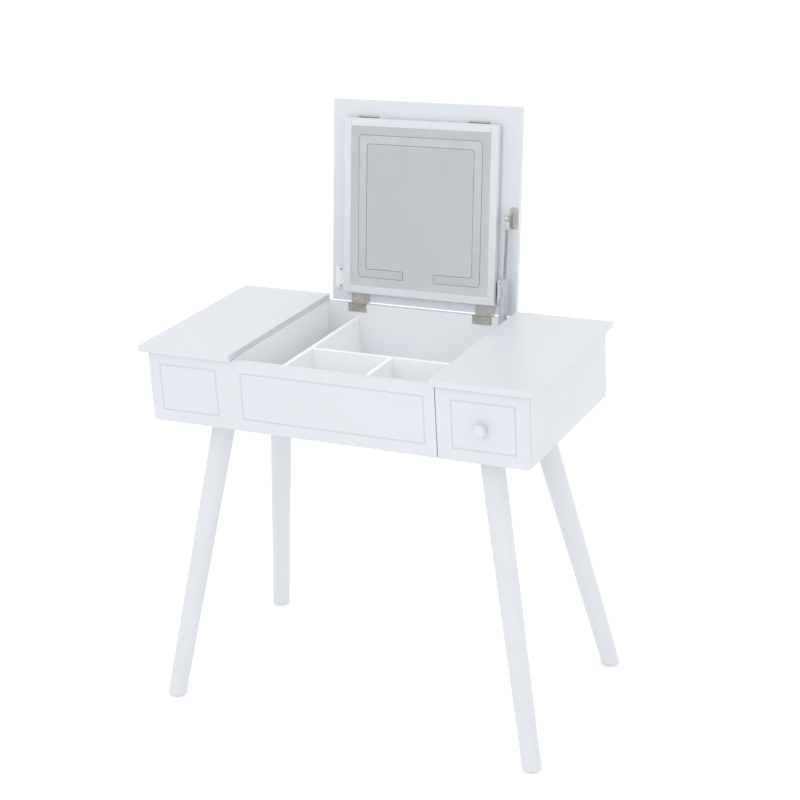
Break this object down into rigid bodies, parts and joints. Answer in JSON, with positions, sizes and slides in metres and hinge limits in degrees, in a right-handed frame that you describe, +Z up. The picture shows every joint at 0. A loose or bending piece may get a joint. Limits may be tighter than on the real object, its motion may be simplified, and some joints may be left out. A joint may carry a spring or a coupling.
{
  "type": "vanity table",
  "caption": "Small white dressing table on splayed legs, with a lift-up mirror lid over a divided well and a drawer beside it.",
  "frame": {"origin": "under the middle of the whole table at rest, lid open, at floor level", "axes": "+Z up from the floor, +Y towards the back where the lid is hinged, +X towards the drawer end, the sitter's right"},
  "size_m": [0.8012, 0.5054, 1.1179],
  "materials": {
    "white_lacquer": "smooth satin white lacquer on fibreboard",
    "well_lacquer": "satin white lacquer on fibreboard, inside the case",
    "frame_lacquer": "satin white lacquer on the mirror frame",
    "leg_paint": "white paint on turned solid wood",
    "drawer_board": "white foil on thin board",
    "knob_paint": "glossy white paint on a turned knob",
    "glide_plastic": "moulded glide",
    "zinc_plate": "zinc-plated pressed steel",
    "screw_steel": "plated steel",
    "beech_dowel": "bare beech",
    "hinge_nickel": "satin nickel plate",
    "bracket_nickel": "satin nickel plate",
    "rod_chrome": "polished rod",
    "strut_nickel": "plated steel",
    "strut_paint": "pale grey painted tube",
    "runner_enamel": "white epoxy coat on pressed steel",
    "roller_nylon": "moulded nylon",
    "mirror_glass": "silvered glass with an etched light band",
    "light_guide_acrylic": "clear acrylic sheet",
    "lamp_strip": "flexible strip with small lamps",
    "backing_board": "bare hardboard",
    "circuit_board": "coated circuit board",
    "catch_plastic": "moulded white plastic"
  },
  "bodies": {
    "case": {"left_top": "white_lacquer", "right_top": "white_lacquer", "front_panel": "white_lacquer", "left_side": "white_lacquer", "right_side": "white_lacquer", "back_panel": "well_lacquer", "left_partition": "well_lacquer", "right_partition": "well_lacquer", "bottom_panel": "well_lacquer", "long_divider": "well_lacquer", "cross_divider": "well_lacquer", "short_divider": "well_lacquer", "front_left_leg": "leg_paint", "front_right_leg": "leg_paint", "back_left_leg": "leg_paint", "back_right_leg": "leg_paint", "foot_glides": "glide_plastic", "leg_plates": "zinc_plate", "leg_bolts": "zinc_plate", "leg_plate_screws": "screw_steel", "case_dowels": "beech_dowel", "hinge_case_leaves": "hinge_nickel", "hinge_pins": "screw_steel", "case_fitting_screws": "screw_steel", "strut_case_bracket": "bracket_nickel", "cabinet_runners": "runner_enamel"},
    "lid": {"lid_panel": "white_lacquer", "hinge_lid_leaves": "hinge_nickel", "lid_fitting_screws": "screw_steel", "strut_lid_bracket": "bracket_nickel", "mirror_left_stile": "frame_lacquer", "mirror_right_stile": "frame_lacquer", "mirror_bottom_rail": "frame_lacquer", "mirror_top_rail": "frame_lacquer", "mirror_glass": "mirror_glass", "light_guide": "light_guide_acrylic", "led_strip": "lamp_strip", "mirror_backing": "backing_board", "touch_board": "circuit_board", "mirror_hinge_lid_leaves": "hinge_nickel", "mirror_hinge_frame_leaves": "hinge_nickel", "mirror_hinge_pins": "screw_steel", "catch_bodies": "catch_plastic", "catch_screws": "screw_steel", "strike_plates": "zinc_plate"},
    "strut_rod": {"strut_rod": "rod_chrome", "strut_rod_end_fitting": "strut_nickel"},
    "strut_tube": {"strut_tube": "strut_paint", "strut_tube_end_fitting": "strut_nickel"},
    "drawer": {"drawer_front": "white_lacquer", "drawer_left_side": "drawer_board", "drawer_right_side": "drawer_board", "drawer_back": "drawer_board", "drawer_bottom": "drawer_board", "drawer_runners": "runner_enamel", "knob": "knob_paint", "knob_screw": "screw_steel"},
    "front_rollers": {"front_rollers": "roller_nylon"},
    "rear_rollers": {"rear_rollers": "roller_nylon"}
  },
  "joints": [
    {"name": "lid_hinge", "type": "hinge", "parent": "case", "child": "lid", "pos_m": [0, 0.17947, 0.72025], "axis": [1, 0, 0], "range_deg": [0, 98.4]},
    {"name": "strut_swing", "type": "hinge", "parent": "lid", "child": "strut_rod", "pos_m": [0.183, 0.19646, 0.91233], "axis": [1, 0, 0], "range_deg": [-13.99, 0]},
    {"name": "strut_extend", "type": "slide", "parent": "strut_rod", "child": "strut_tube", "axis": [0, 0.2037, 0.979], "range_m": [0, 0.09327]},
    {"name": "drawer_slide", "type": "slide", "parent": "case", "child": "drawer", "axis": [0, -1, 0], "range_m": [0, 0.25]},
    {"name": "front_roller_spin", "type": "hinge", "parent": "case", "child": "front_rollers", "pos_m": [0, -0.18904, 0.6342], "axis": [1, 0, 0], "range_deg": [0, 2210]},
    {"name": "rear_roller_spin", "type": "hinge", "parent": "drawer", "child": "rear_rollers", "pos_m": [0, 0.13647, 0.63], "axis": [1, 0, 0], "range_deg": [0, 1690]}
  ],
  "couplings": [
    {"joint": "strut_swing", "follows": "lid_hinge", "ratio": -0.14209},
    {"joint": "strut_extend", "follows": "lid_hinge", "m_per_rad": 0.054304},
    {"joint": "front_roller_spin", "follows": "drawer_slide", "rad_per_m": 153.85},
    {"joint": "rear_roller_spin", "follows": "drawer_slide", "rad_per_m": 117.65}
  ]
}
